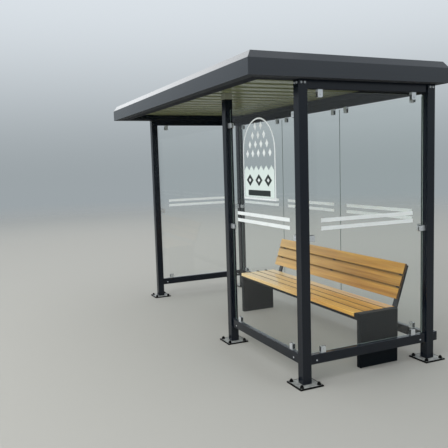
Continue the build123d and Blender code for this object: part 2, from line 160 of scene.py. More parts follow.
# %% [markdown]
# ## Roof sheet
# The roof deck is trapezoidal steel sheet with a thin coil coating, fairly smooth below and a duller,
# grimy grey above, where the weather reaches it.  Below, it is an olive grey that is darker and greener than
# the coating: painted shade under the roof with a painted green reflection.  It was rolled from a strip, so
# streaks run along the ribs, from front to back, and a noise drawn out that way makes them.  Two sheets back
# to back could carry the two colours, but the deck is one thin node, so its material tells the sides apart
# by the normal.

# %% Coil-coated roof sheet
STREAK_MM = 26
STREAK_STRETCH = 0.06
GRIME = "#6d6c62"
GRIME_MM = 140
TOP_SIDE = 0.3
TOP_DULLING = 0.3


def coil_coat(name, colour, dark_colour, top_colour):
    """Coil coating with weak dirt streaks along the ribs, and a duller colour on the upper side; the colours
    below carry painted shade.
    """
    material, tree = new_material(name)
    place = add(tree, "ShaderNodeTexCoord").outputs["Object"]
    drawn_out = add(tree, "ShaderNodeMapping", {"Scale": (1, STREAK_STRETCH, 1)}, {"Vector": place})
    streak = add(tree, "ShaderNodeTexNoise", {"Scale": per_metre(STREAK_MM), "Detail": 3.0},
                 {"Vector": drawn_out.outputs[0]})
    share = add(tree, "ShaderNodeMapRange", {"From Min": 0.35, "From Max": 0.8, "To Max": 0.35},
                {"Value": streak.outputs["Fac"]})
    # Below the top the sheet gets these colours: painted shade, darker and greener than the coating itself.
    base = add(tree, "ShaderNodeMix", {6: srgb(colour), 7: srgb(dark_colour)}, {0: share.outputs[0]},
               data_type="RGBA")
    normal = add(tree, "ShaderNodeNewGeometry").outputs["Normal"]
    upward = add(tree, "ShaderNodeSeparateXYZ", links={0: normal}).outputs["Z"]
    on_top = add(tree, "ShaderNodeMath", {1: TOP_SIDE}, {0: upward}, operation="GREATER_THAN")
    grime = add(tree, "ShaderNodeTexNoise", {"Scale": per_metre(GRIME_MM), "Detail": 4.0}, {"Vector": place})
    grimy = add(tree, "ShaderNodeMapRange", {"From Min": 0.3, "From Max": 0.8, "To Max": 0.5},
                {"Value": grime.outputs["Fac"]})
    top = add(tree, "ShaderNodeMix", {6: srgb(top_colour), 7: srgb(GRIME)}, {0: grimy.outputs[0]},
              data_type="RGBA")
    top_and_shaded_underside = add(tree, "ShaderNodeMix", links={0: on_top.outputs[0], 6: base.outputs[2], 7: top.outputs[2]},
                data_type="RGBA")
    rough = add(tree, "ShaderNodeMapRange", {"To Min": 0.16, "To Max": 0.3}, {"Value": streak.outputs["Fac"]})
    weathered = add(tree, "ShaderNodeMath", {1: TOP_DULLING}, {0: on_top.outputs[0]}, operation="MULTIPLY")
    dulled = add(tree, "ShaderNodeMath", links={0: rough.outputs[0], 1: weathered.outputs[0]},
                 operation="ADD")
    shader = add(tree, "ShaderNodeBsdfPrincipled", {"Specular IOR Level": 0.15},
                 {"Base Color": top_and_shaded_underside.outputs[2], "Roughness": dulled.outputs[0]})
    add(tree, "ShaderNodeOutputMaterial", links={"Surface": shader.outputs[0]})
    return material


# The olive underside colours are painted shade with a painted green reflection; the top colour is the
# coating's own grey.
roof_coat = coil_coat("coil_coat_roof_sheet_shaded_below", "#84896a", "#6c7155", "#a9aca8")
head_coat = coil_coat("coil_coat_post_head", "#96988a", "#85887a", "#a9aca8")

# %% [markdown]
# ## Glass
# The walls are 8 mm toughened float glass.  Iron in the sand gives it a weak green tint, strongest where
# one looks into a polished edge, and faint smears roughen it a little.  Real glass has an IOR of 1.52.  The
# panes have less, matched so that a pale studio doesn't wash out what stands behind them.  Light
# from the lamps would be blocked by a solid pane, because a ray that bends can't be aimed at a lamp, so
# shadow rays and bounced light pass as if the pane were a filter.

# %% Toughened glass
SMEAR_MM = 300
FACE_START = 0.5


def toughened_glass(name, tint, edge_tint_and_highlight, edge_axes, ior):
    """Clear glass with a polished edge in the glass's green, lightened where it carries a painted highlight;
    the edge faces look along edge_axes.
    """
    material, tree = new_material(name)
    normal = add(tree, "ShaderNodeNewGeometry").outputs["Normal"]
    sides = add(tree, "ShaderNodeSeparateXYZ", links={0: normal})
    flat = add(tree, "ShaderNodeMath", links={0: sides.outputs[edge_axes]}, operation="ABSOLUTE")
    at_edge = add(tree, "ShaderNodeMath", {1: FACE_START}, {0: flat.outputs[0]}, operation="LESS_THAN")
    place = add(tree, "ShaderNodeTexCoord").outputs["Object"]
    smear = add(tree, "ShaderNodeTexNoise", {"Scale": per_metre(SMEAR_MM), "Detail": 2.0}, {"Vector": place})
    rough = add(tree, "ShaderNodeMapRange", {"From Min": 0.45, "From Max": 0.75, "To Max": 0.015},
                {"Value": smear.outputs["Fac"]})
    clear = add(tree, "ShaderNodeBsdfPrincipled",
                {"Base Color": srgb(tint), "IOR": ior, "Transmission Weight": 1.0},
                {"Roughness": rough.outputs[0]})
    edge = add(tree, "ShaderNodeBsdfPrincipled", {"Base Color": srgb(edge_tint_and_highlight), "Roughness": 0.35})
    pane = add(tree, "ShaderNodeMixShader",
               links={0: at_edge.outputs[0], 1: clear.outputs[0], 2: edge.outputs[0]})
    filtering = add(tree, "ShaderNodeBsdfTransparent", {"Color": srgb(tint)})
    path = add(tree, "ShaderNodeLightPath")
    lit = add(tree, "ShaderNodeMixShader",
              links={0: path.outputs["Is Shadow Ray"], 1: pane.outputs[0], 2: filtering.outputs[0]})
    bounced = add(tree, "ShaderNodeMixShader",
                  links={0: path.outputs["Is Diffuse Ray"], 1: lit.outputs[0], 2: filtering.outputs[0]})
    add(tree, "ShaderNodeOutputMaterial", links={"Surface": bounced.outputs[0]})
    return material


# The edge colour is the glass's green; the lighter one of the end walls adds a painted highlight along their
# edges.
glass_across_y = toughened_glass("toughened_glass_long_walls", "#fafcfb", "#6f8078", "Y", 1.15)
glass_across_x = toughened_glass("toughened_glass_end_walls", "#fafcfb", "#9aaaa2", "X", 1.37)

# %% [markdown]
# ## Larch boards
# Seat and back are larch boards, planed and glazed.  Growth rings show as long streaks along the board,
# and every board has its own tone.  The sawn ends are darker, partly because they drink more glaze and
# partly as painted shade.  The edges along the gaps are painted darker as shade between the boards, and
# toward the far end the wood is painted paler, with a painted sheen and painted light from the open side.
# Boards made one by one could each have a material, but the frame holds all boards of the seat as one node
# and those of the back as another, so the material tells them apart by their place across the bench.

# %% Glazed larch
GRAIN_MM = 11
FIGURE_MM = 60
GRAIN_STRETCH = 0.035
END_GRAIN_AND_SHADE = "#38240f"
GAP_SHADE_COLOUR = "#33230d"
FAR_END_SHEEN = "#fff0c4"
EDGE_SHARE = 0.075
TOP_EDGE = 0.87
LAST_GAP = 1.5
FIRST_GAP = 0.5
BOARD_SHIFT = (7.0, 3.0, 5.0)
SHEEN_FROM = 1.2
SHEEN_TO = -0.5
GRAIN_DEPTH_MM = 0.8


def glazed_larch(name, board_axis, first_edge, pitch, light, middle, dark, coat, gap_shade, top_edge_shade, far_sheen):
    """Glazed softwood whose boards lie along X and follow each other every pitch along board_axis."""
    material, tree = new_material(name)
    place = add(tree, "ShaderNodeTexCoord").outputs["Object"]
    across = add(tree, "ShaderNodeSeparateXYZ", links={0: place}).outputs[board_axis]
    from_edge = add(tree, "ShaderNodeMath", {1: first_edge}, {0: across}, operation="SUBTRACT")
    counted = add(tree, "ShaderNodeMath", {1: pitch}, {0: from_edge.outputs[0]}, operation="DIVIDE")
    board = add(tree, "ShaderNodeMath", links={0: counted.outputs[0]}, operation="FLOOR")
    chance = add(tree, "ShaderNodeTexWhiteNoise", links={"W": board.outputs[0]}, noise_dimensions="1D")
    shift = add(tree, "ShaderNodeVectorMath", {1: BOARD_SHIFT}, {0: chance.outputs["Color"]},
                operation="MULTIPLY")
    own_place = add(tree, "ShaderNodeVectorMath", links={0: place, 1: shift.outputs[0]}, operation="ADD")
    drawn_out = add(tree, "ShaderNodeMapping", {"Scale": (GRAIN_STRETCH, 1, 1)},
                    {"Vector": own_place.outputs[0]})
    grain = add(tree, "ShaderNodeTexNoise", {"Scale": per_metre(GRAIN_MM), "Detail": 5.0, "Roughness": 0.6},
                {"Vector": drawn_out.outputs[0]})
    figure = add(tree, "ShaderNodeTexNoise",
                 {"Scale": per_metre(FIGURE_MM), "Detail": 2.0, "Distortion": 0.6},
                 {"Vector": drawn_out.outputs[0]})
    streak = add(tree, "ShaderNodeMapRange", {"From Min": 0.36, "From Max": 0.68},
                 {"Value": grain.outputs["Fac"]})
    light_wood = add(tree, "ShaderNodeMix", {6: srgb(light), 7: srgb(middle)}, {0: streak.outputs[0]},
                     data_type="RGBA")
    warm = add(tree, "ShaderNodeMapRange", {"From Min": 0.4, "From Max": 0.7, "To Max": 0.75},
               {"Value": figure.outputs["Fac"]})
    figured = add(tree, "ShaderNodeMix", {7: srgb(dark)}, {0: warm.outputs[0], 6: light_wood.outputs[2]},
                  data_type="RGBA")
    own_tone = add(tree, "ShaderNodeMapRange", {"To Min": 0.9, "To Max": 1.06},
                   {"Value": chance.outputs["Value"]})
    toned = add(tree, "ShaderNodeVectorMath", links={0: figured.outputs[2], "Scale": own_tone.outputs[0]},
                operation="SCALE")
    # Sawn ends face along X: darker from glaze, and from painted shade.
    normal = add(tree, "ShaderNodeNewGeometry").outputs["Normal"]
    lengthways = add(tree, "ShaderNodeSeparateXYZ", links={0: normal}).outputs["X"]
    end = add(tree, "ShaderNodeMath", links={0: lengthways}, operation="ABSOLUTE")
    end_grain_and_shade_share = add(tree, "ShaderNodeMapRange", {"From Min": 0.8, "From Max": 0.95, "To Max": 0.9},
                    {"Value": end.outputs[0]})
    lengthwise = add(tree, "ShaderNodeSeparateXYZ", links={0: place}).outputs["X"]
    # Toward the far end the wood turns paler: a painted sheen and painted light from the open side.
    weathered = add(tree, "ShaderNodeMapRange",
                    {"From Min": SHEEN_FROM, "From Max": SHEEN_TO, "To Max": far_sheen},
                    {"Value": lengthwise})
    sheened = add(tree, "ShaderNodeMix", {7: srgb(FAR_END_SHEEN)}, {0: weathered.outputs[0], 6: toned.outputs[0]},
                data_type="RGBA")
    base = add(tree, "ShaderNodeMix", {7: srgb(END_GRAIN_AND_SHADE)}, {0: end_grain_and_shade_share.outputs[0], 6: sheened.outputs[2]},
               data_type="RGBA")
    # Edges along the gaps are darkened: painted shade between the boards.
    within = add(tree, "ShaderNodeMath", links={0: counted.outputs[0]}, operation="FRACT")
    at_gap = add(tree, "ShaderNodeMapRange", {"From Min": EDGE_SHARE, "From Max": 0, "To Max": gap_shade},
                 {"Value": within.outputs[0]})
    inner = add(tree, "ShaderNodeMath", {1: FIRST_GAP}, {0: board.outputs[0]}, operation="GREATER_THAN")
    low_edge = add(tree, "ShaderNodeMath", links={0: at_gap.outputs[0], 1: inner.outputs[0]},
                   operation="MULTIPLY")
    top_edge = add(tree, "ShaderNodeMapRange",
                   {"From Min": TOP_EDGE - EDGE_SHARE, "From Max": TOP_EDGE, "To Max": top_edge_shade},
                   {"Value": within.outputs[0]})
    under_gap = add(tree, "ShaderNodeMath", {1: LAST_GAP}, {0: board.outputs[0]}, operation="LESS_THAN")
    high_edge = add(tree, "ShaderNodeMath", links={0: top_edge.outputs[0], 1: under_gap.outputs[0]},
                    operation="MULTIPLY")
    shaded_edges = add(tree, "ShaderNodeMath", links={0: low_edge.outputs[0], 1: high_edge.outputs[0]},
                operation="MAXIMUM")
    edge_shaded_colour = add(tree, "ShaderNodeMix", {7: srgb(GAP_SHADE_COLOUR)}, {0: shaded_edges.outputs[0], 6: base.outputs[2]},
                 data_type="RGBA")
    bump = add(tree, "ShaderNodeBump", {"Strength": 0.25, "Distance": GRAIN_DEPTH_MM * MM},
               {"Height": grain.outputs["Fac"]})
    shader = add(tree, "ShaderNodeBsdfPrincipled",
                 {"Roughness": 0.55, "Specular IOR Level": 0.2, "Coat Weight": coat, "Coat Roughness": 0.14},
                 {"Base Color": edge_shaded_colour.outputs[2], "Normal": bump.outputs[0]})
    add(tree, "ShaderNodeOutputMaterial", links={"Surface": shader.outputs[0]})
    return material


SLAT_PITCH = 114 * MM
BOARD_PITCH = 114.5 * MM
BACK_LEAN = math.radians(19.2)
slats_low, slats_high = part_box("bench_seat_slats")
boards_low, boards_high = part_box("bench_back_boards")
seat_larch = glazed_larch("glazed_larch_seat", "Y", slats_low.y, SLAT_PITCH, "#fdc866", "#ebab47", "#c07a2a",
                          coat=0.7, gap_shade=0.9, top_edge_shade=0.0, far_sheen=0.6)
back_larch = glazed_larch("glazed_larch_back", "Z", boards_low.z, BOARD_PITCH * math.cos(BACK_LEAN),
                          "#dca84d", "#c98f3b", "#9d6623", coat=0.3, gap_shade=0.5, top_edge_shade=0.3, far_sheen=0.3)


# %% [markdown]
# ## Small metal, plastic and film
# Clamps are zinc castings with a satin silver coat, screws are plain stainless steel, and the anchor nuts
# wear black plastic caps with hardly any shine.  The white bands are matt film that lets a little light
# through, and they make the glass easy to see.  Each could be one flat colour, but two close tones in
# patches look less like fresh paint.

# %% Metal, cap, rubber and film
THROUGH_MM = 3


def plain_finish(name, colour, second_colour, patch_mm, roughness, metallic=0.0, bump_mm=0.0, through=0.0,
                 shine=0.5):
    """One material with two close tones in patches and an optional fine relief."""
    material, tree = new_material(name)
    place = add(tree, "ShaderNodeTexCoord").outputs["Object"]
    patch = add(tree, "ShaderNodeTexNoise", {"Scale": per_metre(patch_mm), "Detail": 4.0}, {"Vector": place})
    base = add(tree, "ShaderNodeMix", {6: srgb(colour), 7: srgb(second_colour)}, {0: patch.outputs["Fac"]},
               data_type="RGBA")
    rough = add(tree, "ShaderNodeMapRange", {"To Min": roughness - 0.06, "To Max": roughness + 0.06},
                {"Value": patch.outputs["Fac"]})
    bump = add(tree, "ShaderNodeBump", {"Strength": 0.2, "Distance": bump_mm * MM},
               {"Height": patch.outputs["Fac"]})
    shader = add(tree, "ShaderNodeBsdfPrincipled",
                 {"Metallic": metallic, "Subsurface Weight": through, "Subsurface Scale": THROUGH_MM * MM,
                  "Subsurface Radius": (1, 1, 1), "Specular IOR Level": shine},
                 {"Base Color": base.outputs[2], "Roughness": rough.outputs[0], "Normal": bump.outputs[0]})
    add(tree, "ShaderNodeOutputMaterial", links={"Surface": shader.outputs[0]})
    return material


silver_zinc = plain_finish("silver_coated_zinc", "#e4e7e9", "#d6d9db", 12, 0.36, metallic=0.82, bump_mm=0.3)
stainless = plain_finish("stainless_steel_screws", "#d6d9db", "#c3c7ca", 6, 0.3, metallic=0.5)
cap_plastic = plain_finish("black_cap_plastic", "#020202", "#040505", 8, 0.5, shine=0.1)
rubber = plain_finish("black_rubber", "#131516", "#1b1e20", 8, 0.75)
# A brown strip that stands in for the shade in the gaps of the bench back.
shade_strip_brown = plain_finish("gap_shade_strip", "#86652c", "#705223", 30, 0.85)
white_film = plain_finish("matt_white_film", "#f6faf9", "#eef4f2", 90, 0.6, through=0.4)
pale_film = plain_finish("pale_frost_film", "#dbe6e0", "#d0dcd6", 90, 0.6)
dark_film = plain_finish("dark_green_film", "#0c1816", "#12201e", 90, 0.5)

# %% [markdown]
# ## Dressing the frame's nodes
# Each node gets its material through its slot, which is shorter than a list of all nodes.  Panes, fascia,
# boards, the supports of the bench back and one post head differ from the rest of their slot, and are told
# apart by name.  The shapes stay exactly as they were drawn.

# %% Assign the finishes
by_slot = {
    "frame_coat": frame_coat,
    "plate_coat": plate_coat,
    "roof_coat": roof_coat,
    "clamp_metal": silver_zinc,
    "bench_coat": bench_coat,
}
slot_of = {row["node"]: row["material_slot"] for row in frame["record"]["subparts"]}
for node, obj in frame["nodes"].items():
    finish = by_slot.get(slot_of[node])
    if node.startswith("glass"):
        finish = glass_across_x if node.endswith("end") else glass_across_y
    if node.startswith("fascia") or node == "bench_back_supports":
        finish = fascia_coat
    if node == "post_head_front_middle":
        finish = head_coat
    if node == "bench_seat_slats":
        finish = seat_larch
    if node == "bench_back_boards":
        finish = back_larch
    obj.data.materials.clear()
    obj.data.materials.append(finish)
print("dressed", len(slot_of), "nodes")


# %% [markdown]
# ## Making and repeating small pieces
# Screws and caps are turned parts: a profile of a few points is spun once around.  Each kind is made
# once as a mesh and then stamped wherever it is needed, so a wall's screws are one joined mesh.

# %% Helpers for new pieces
SPIN_STEPS = 20
SMOOTH_BELOW = math.radians(32)


def turned(profile):
    """Closed shape spun about Z from (radius, height) points in millimetres."""
    shape = bmesh.new()
    corners = [shape.verts.new((radius * MM, 0, height * MM)) for radius, height in profile]
    lines = [shape.edges.new(pair) for pair in zip(corners, corners[1:])]
    bmesh.ops.spin(shape, geom=corners + lines, cent=(0, 0, 0), axis=(0, 0, 1), angle=2 * math.pi,
                   steps=SPIN_STEPS, use_merge=True)
    bmesh.ops.remove_doubles(shape, verts=shape.verts, dist=1e-6)
    bmesh.ops.recalc_face_normals(shape, faces=shape.faces)
    return shape


def hexagon(across_flats, height, start, rounding):
    """Hexagonal prism standing on the height start, its top corners rounded off; in millimetres."""
    shape = bmesh.new()
    radius = across_flats / 2 / math.cos(math.pi / 6) * MM
    bmesh.ops.create_cone(shape, cap_ends=True, segments=6, radius1=radius, radius2=radius, depth=height * MM)
    bmesh.ops.translate(shape, vec=(0, 0, (start + height / 2) * MM), verts=shape.verts)
    top = max(shape.faces, key=lambda face: face.calc_center_median().z)
    bmesh.ops.bevel(shape, geom=list(top.edges), offset=rounding * MM, offset_type="OFFSET", affect="EDGES",
                    segments=2, profile=0.5, material=-1)
    return shape


def as_mesh(name, *shapes):
    """Join bmesh shapes into one mesh that can be stamped."""
    whole = bmesh.new()
    for shape in shapes:
        part = bpy.data.meshes.new(name)
        shape.to_mesh(part)
        shape.free()
        whole.from_mesh(part)
        bpy.data.meshes.remove(part)
    mesh = bpy.data.meshes.new(name)
    whole.to_mesh(mesh)
    whole.free()
    return mesh


def facing(point, direction):
    """Place at the point with Z turned to the direction."""
    return Matrix.Translation(point) @ Vector(direction).to_track_quat("Z", "Y").to_matrix().to_4x4()


def stamped(name, mesh, places, materials):
    """One object with a copy of the mesh at every place."""
    whole = bmesh.new()
    for place in places:
        copy = mesh.copy()
        copy.transform(place)
        whole.from_mesh(copy)
        bpy.data.meshes.remove(copy)
    return as_object(name, whole, materials)


def as_object(name, shape, materials):
    """Turn a bmesh into a finished piece that belongs to the shelter."""
    mesh = bpy.data.meshes.new(name)
    shape.to_mesh(mesh)
    shape.free()
    for material in materials:
        mesh.materials.append(material)
    mesh.shade_smooth()
    mesh.set_sharp_from_angle(angle=SMOOTH_BELOW)
    obj = bpy.data.objects.new(name, mesh)
    bpy.context.scene.collection.objects.link(obj)
    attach(obj, "root")
    print(name, len(mesh.polygons), "faces")
    return obj


def bar(shape, low, high, rounding):
    """Add a box between two corners, its edges slightly rounded."""
    low, high = Vector(low), Vector(high)
    size = high - low
    made = bmesh.ops.create_cube(shape, size=1.0,
                                 matrix=Matrix.Translation((low + high) / 2) @ Matrix.Diagonal(size).to_4x4())
    edges = {edge for vert in made["verts"] for edge in vert.link_edges}
    bmesh.ops.bevel(shape, geom=list(edges), offset=rounding, offset_type="OFFSET", affect="EDGES",
                    segments=1, profile=0.5, material=-1)


def bar_between(shape, near, far, rounding):
    """Add a box between any two opposite corners."""
    lowest = [min(a, b) for a, b in zip(near, far)]
    highest = [max(a, b) for a, b in zip(near, far)]
    bar(shape, lowest, highest, rounding)


# %% [markdown]
# ## Anchor nuts
# Every base plate is held by four anchor studs.  Washer, nut and the domed cap over it all read as black
# plastic.  They could be three pieces a stud, but joined in one mesh they are stamped with a single call.
# A bead of dark sealant lies round each plate, as four bars just clear of the plate's edges; it also stands
# in for the contact shadow at the plate's foot, as a painted shadow.

# %% Anchor washers and caps
ANCHOR_SPACING = 160 * MM
CONTACT = 0.2 * MM
anchor = as_mesh(
    "anchor",
    turned([(0, 0), (17, 0), (17, 2.4), (16.4, 3), (0, 3)]),
    hexagon(28, 10, 3, 2),
    turned([(0, 12.5), (12.8, 12.5), (12.2, 16.5), (10.2, 21), (6.2, 24.2), (0, 25)]),
)
BEAD = 8 * MM
BEAD_BELOW_TOP = 0.5 * MM
BEAD_ROUND = 0.8 * MM
# The black bead is sealant, and also a painted contact shadow at the plate's foot.
beads_and_contact_shade = bmesh.new()
for node in frame["nodes"]:
    if node.startswith("base_plate_"):
        low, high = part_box(node)
        middle = (low + high) / 2
        outer = Vector((BEAD, BEAD, 0))
        play = Vector((CONTACT, CONTACT, 0))
        inner_low, inner_high = low - play, high + play
        outer_low, outer_high = low - outer, high + outer
        for x0, y0, x1, y1 in (
            (outer_low.x, outer_low.y, outer_high.x, inner_low.y),
            (outer_low.x, inner_high.y, outer_high.x, outer_high.y),
            (outer_low.x, inner_low.y, inner_low.x, inner_high.y),
            (inner_high.x, inner_low.y, outer_high.x, inner_high.y),
        ):
            bar(beads_and_contact_shade, (x0, y0, low.z), (x1, y1, high.z - BEAD_BELOW_TOP), BEAD_ROUND)
        corners = [
            Vector((middle.x + sx * ANCHOR_SPACING / 2, middle.y + sy * ANCHOR_SPACING / 2, high.z))
            for sx in (-1, 1) for sy in (-1, 1)
        ]
        stamped(node.replace("base_plate", "anchor_nuts"), anchor, [facing(c, Z_AXIS) for c in corners],
                [cap_plastic])
as_object("plate_beads_and_contact_shade", beads_and_contact_shade, [cap_plastic])

# %% [markdown]
# ## Screws of the frame
# The rails are screwed to brackets inside the posts: one button head shows near each rail end, and on the
# end rails it shows on both faces.  Each corner post has two hexagon bolts in both of its outer faces, just
# under the top.  All heads of a kind are alike, so one mesh is stamped at every place.

# %% Rail screws and post bolts
LONG_RAIL_SCREW = 88 * MM
END_RAIL_SCREW = 60 * MM
SCREW_ABOVE_EDGE = 31 * MM
BOLT_SPACING = 31 * MM
BOLT_BELOW_TOP = 25 * MM
button_screw = as_mesh(
    "button_screw",
    turned([(0, 2), (2.6, 2), (2.6, 4), (4.6, 3.9), (6.6, 2.4), (7, 0), (0, 0)]),
)
hex_bolt = as_mesh("hex_bolt", turned([(0, 0), (9, 0), (9, 1.6), (0, 1.6)]), hexagon(13, 5.6, 1.6, 0.8))

rail_screws = []
for node, outward in (("bottom_rail_front", -Y_AXIS), ("bottom_rail_back", Y_AXIS)):
    low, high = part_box(node)
    y = low.y if outward.y < 0 else high.y
    for x in (low.x + LONG_RAIL_SCREW, high.x - LONG_RAIL_SCREW):
        rail_screws.append(facing((x, y, low.z + SCREW_ABOVE_EDGE), outward))
for node, outward in (("bottom_rail_near_end", X_AXIS), ("bottom_rail_far_end", -X_AXIS)):
    low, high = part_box(node)
    for side in (outward, -outward):
        x = high.x if side.x > 0 else low.x
        for y in (low.y + END_RAIL_SCREW, high.y - END_RAIL_SCREW):
            rail_screws.append(facing((x, y, low.z + SCREW_ABOVE_EDGE), side))
stamped("rail_screws", button_screw, rail_screws, [stainless])

post_bolts = []
for node in ("post_front_near", "post_front_far", "post_back_near", "post_back_far"):
    low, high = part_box(node)
    middle = (low + high) / 2
    z = high.z - BOLT_BELOW_TOP
    x_side = 1 if middle.x > 0 else -1
    y_side = 1 if "back" in node else -1
    for shift in (-BOLT_SPACING / 2, BOLT_SPACING / 2):
        post_bolts.append(facing((high.x if x_side > 0 else low.x, middle.y + shift, z), X_AXIS * x_side))
        post_bolts.append(facing((middle.x + shift, high.y if y_side > 0 else low.y, z), Y_AXIS * y_side))
stamped("post_top_bolts", hex_bolt, post_bolts, [stainless])

# %% [markdown]
# ## Inner roof tubes
# Seen from below, the dark border of the ceiling is wider than one roof tube.  A second tube is drawn
# against the front one and against both end ones, on their inner side.  A wider roof tube would do as well,
# but the solids are fixed here, so the extra width is a piece of its own.

# %% Inner roof tubes
INNER_TUBE_WIDTH = 50 * MM
INNER_TUBE_ROUND = 4 * MM
front_low, front_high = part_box("roof_frame_front")
back_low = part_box("roof_frame_back")[0]
for node, inward in (("roof_frame_near_end", -1), ("roof_frame_far_end", 1)):
    low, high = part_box(node)
    face = low.x if inward < 0 else high.x
    x0, x1 = sorted((face + inward * CONTACT, face + inward * INNER_TUBE_WIDTH))
    tube = bmesh.new()
    bar(tube, (x0, front_high.y + CONTACT, low.z + CONTACT),
        (x1, back_low.y - CONTACT, high.z - CONTACT), INNER_TUBE_ROUND)
    as_object(node.replace("frame", "inner_tube"), tube, [frame_coat])
tube = bmesh.new()
bar(tube, (front_low.x + INNER_TUBE_WIDTH, front_high.y + CONTACT, front_low.z + CONTACT),
    (front_high.x - INNER_TUBE_WIDTH, front_high.y + INNER_TUBE_WIDTH, front_high.z - CONTACT),
    INNER_TUBE_ROUND)
as_object("roof_inner_tube_front", tube, [frame_coat])

# %% [markdown]
# ## Roof screws
# The deck is screwed down through its low flanges, once per rib, into the front and back roof tubes.  The
# screws have a hexagon head on a sealing washer and are seen only from above.

# %% Roof screws
RIB_PITCH = 229 * MM
RIB_START = 45 * MM
FIRST_FLANGE = RIB_START + RIB_PITCH / 2
SHEET_THICKNESS = 1 * MM
SCREW_FROM_END = 30 * MM
MOST_RIBS = 9
deck_low, deck_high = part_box("roof_deck")
roof_screw = as_mesh(
    "roof_screw",
    turned([(0, 0), (8, 0), (8, 1.2), (6.5, 2.2), (0, 2.2)]),
    hexagon(8, 4.4, 2.2, 0.5),
)
sheet_top = deck_low.z + SHEET_THICKNESS
roof_screws = []
for tube in ("roof_frame_front", "roof_frame_back"):
    low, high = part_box(tube)
    for step in range(-MOST_RIBS, MOST_RIBS):
        x = FIRST_FLANGE + step * RIB_PITCH
        if deck_low.x + SCREW_FROM_END < x < deck_high.x - SCREW_FROM_END:
            roof_screws.append(facing((x, (low.y + high.y) / 2, sheet_top), Z_AXIS))
stamped("roof_screws", roof_screw, roof_screws, [stainless])

# %% [markdown]
# ## Clamp screws and pads
# Each clamp closes on the glass with one button-head screw on either face.  Black rubber keeps the metal
# off the glass.  Its pad shows as a thin dark line at the mouth of the clamp, and its lining as another
# along both sides.  Thin bars set against the clamp are enough for what the eye sees of it.

# %% Clamp screws and pads
CLAMP_WIDTH = 46 * MM
CLAMP_DEPTH = 30 * MM
CLAMP_BITE = 42 * MM
CLAMP_INSET = 110 * MM
CLAMP_LOW = 1180 * MM
CLAMP_HIGH = 2156 * MM
PAD_LENGTH = CLAMP_WIDTH - 22 * MM
PAD_PROUD = 2 * MM
PAD_ROUND = 0.5 * MM
LINING_PROUD = 1.4 * MM
LINING_DEPTH = 8 * MM
LINING_ROUND = 0.3 * MM
GLASS_HALF = 4 * MM
WALLS = {
    "glass_front": ("sides_low", "sides_high", "bottom"),
    "glass_near_end": ("sides_low", "bottom", "top"),
    "glass_far_end": ("sides_low", "bottom", "top"),
    "glass_back_far": ("low_side_low", "bottom", "top"),
    "glass_back_middle": ("bottom", "top"),
    "glass_back_near": ("high_side_low", "bottom", "top"),
}


def clamp_places(node):
    """For each clamp of a panel: the point at its mouth, the way into the sheet, and the sheet's normal."""
    low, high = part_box(node)
    runs_along_x = high.x - low.x > high.y - low.y
    along, normal = (X_AXIS, Y_AXIS) if runs_along_x else (Y_AXIS, X_AXIS)
    middle = (low + high) / 2
    start, end = (low.x, high.x) if runs_along_x else (low.y, high.y)

    def point(run, z):
        return middle + along * (run - middle.dot(along)) + Z_AXIS * (z - middle.z)

    found = []
    for rule in WALLS[node]:
        if rule in ("bottom", "top"):
            z = low.z + CLAMP_BITE if rule == "bottom" else high.z - CLAMP_BITE
            way = Z_AXIS if rule == "bottom" else -Z_AXIS
            found += [(point(run, z), way, normal) for run in (start + CLAMP_INSET, end - CLAMP_INSET)]
        else:
            z = CLAMP_HIGH if rule.endswith("high") else CLAMP_LOW
            if not rule.startswith("high_side"):
                found.append((point(start + CLAMP_BITE, z), along, normal))
            if not rule.startswith("low_side"):
                found.append((point(end - CLAMP_BITE, z), -along, normal))
    return found


clamp_screws = []
pads = bmesh.new()
for node in WALLS:
    for mouth, way, normal in clamp_places(node):
        centre = mouth - way * CLAMP_BITE / 2
        across = way.cross(normal)
        for side in (1, -1):
            outward = normal * side
            clamp_screws.append(facing(centre + outward * CLAMP_DEPTH / 2, outward))
            near = mouth + outward * GLASS_HALF - across * PAD_LENGTH / 2
            far = mouth + outward * (GLASS_HALF + PAD_PROUD) + across * PAD_LENGTH / 2 + way * PAD_PROUD
            bar_between(pads, near, far, PAD_ROUND)
            for end in (1, -1):
                wall = across * end * (CLAMP_WIDTH / 2 + LINING_PROUD)
                inside = across * end * (CLAMP_WIDTH / 2 + CONTACT)
                near = centre - way * CLAMP_BITE / 2 + outward * (GLASS_HALF + CONTACT) + inside
                far = centre + way * CLAMP_BITE / 2 + outward * (GLASS_HALF + LINING_DEPTH) + wall
                bar_between(pads, near, far, LINING_ROUND)
stamped("clamp_screws", button_screw, clamp_screws, [stainless])
as_object("clamp_pads", pads, [rubber])

# %% [markdown]
# ## Bands on the glass
# Two matt white bands cross every panel at chest height.  They could be drawn in the glass material, but
# as thin sheets they keep a clean edge.  The film is a fifth of a millimetre thick and stands just clear of
# the glass.

# %% White bands
FILM = 0.2 * MM
FILM_CLEARANCE = 0.3 * MM
FILM_ROUND = 0.05 * MM
BAND_INSET = 110 * MM
BANDS = ((1237 * MM, 1269 * MM), (1302 * MM, 1334 * MM))
BAND_SIDES = {
    "glass_front": -1,
    "glass_near_end": 1,
    "glass_far_end": 1,
    "glass_back_far": -1,
    "glass_back_middle": -1,
    "glass_back_near": -1,
}
for node, side in BAND_SIDES.items():
    low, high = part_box(node)
    bands = bmesh.new()
    runs_along_x = high.x - low.x > high.y - low.y
    for z0, z1 in BANDS:
        if runs_along_x:
            y = low.y - FILM_CLEARANCE - FILM if side < 0 else high.y + FILM_CLEARANCE
            bar(bands, (low.x + BAND_INSET, y, z0), (high.x - BAND_INSET, y + FILM, z1), FILM_ROUND)
        else:
            x = low.x - FILM_CLEARANCE - FILM if side < 0 else high.x + FILM_CLEARANCE
            bar(bands, (x, low.y + BAND_INSET, z0), (x + FILM, high.y - BAND_INSET, z1), FILM_ROUND)
    as_object(node.replace("glass", "bands"), bands, [white_film])

